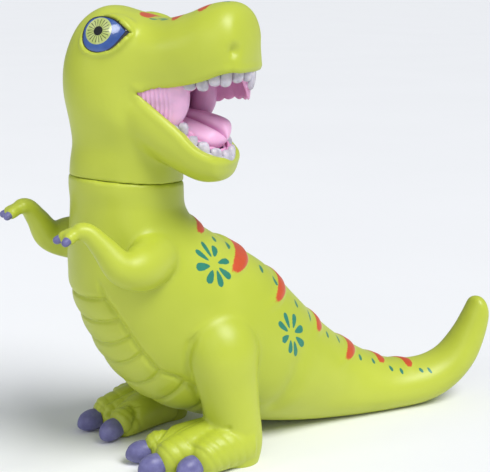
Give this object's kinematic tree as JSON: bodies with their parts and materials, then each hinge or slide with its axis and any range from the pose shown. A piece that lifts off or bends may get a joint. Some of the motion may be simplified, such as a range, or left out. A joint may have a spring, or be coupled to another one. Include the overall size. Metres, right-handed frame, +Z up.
{
  "type": "toy dinosaur figure",
  "caption": "Standing toy dinosaur of soft hollow vinyl with a wide-open toothed mouth, short clawed arms, clawed feet, a curled-up tail and a head that swivels on its neck.",
  "frame": {"origin": "middle of the whole figure's bounding box, on the ground", "axes": "+X towards the tail, +Y towards the figure's right side, +Z up; the chest faces -X"},
  "size_m": [0.3228, 0.1408, 0.2741],
  "materials": {
    "vinyl": "satin soft vinyl, yellow-green",
    "claw": "satin, soft purple",
    "eye": "glossy, blue round a yellow-green iris",
    "tooth": "satin, off-white",
    "mouth": "satin, pink",
    "tongue": "satin, pale pink",
    "plug": "plain moulded plastic, pale grey"
  },
  "bodies": {
    "body": {"body_shell": "vinyl", "toe_claw_left_inner": "claw", "toe_claw_left_middle": "claw", "toe_claw_left_outer": "claw", "toe_claw_right_inner": "claw", "toe_claw_right_middle": "claw", "toe_claw_right_outer": "claw", "finger_claw_left_1": "claw", "finger_claw_left_2": "claw", "finger_claw_right_1": "claw", "finger_claw_right_2": "claw"},
    "head": {"head_shell": "vinyl", "eye_left": "eye", "eye_right": "eye", "upper_teeth": "tooth", "lower_teeth": "tooth", "mouth_lining": "mouth", "tongue": "tongue", "neck_plug": "plug"}
  },
  "joints": [
    {"name": "head_turn", "type": "hinge", "parent": "body", "child": "head", "pos_m": [-0.09862, 0.00395, 0.1715], "axis": [0.0872, 0, 0.9962], "continuous": true}
  ]
}
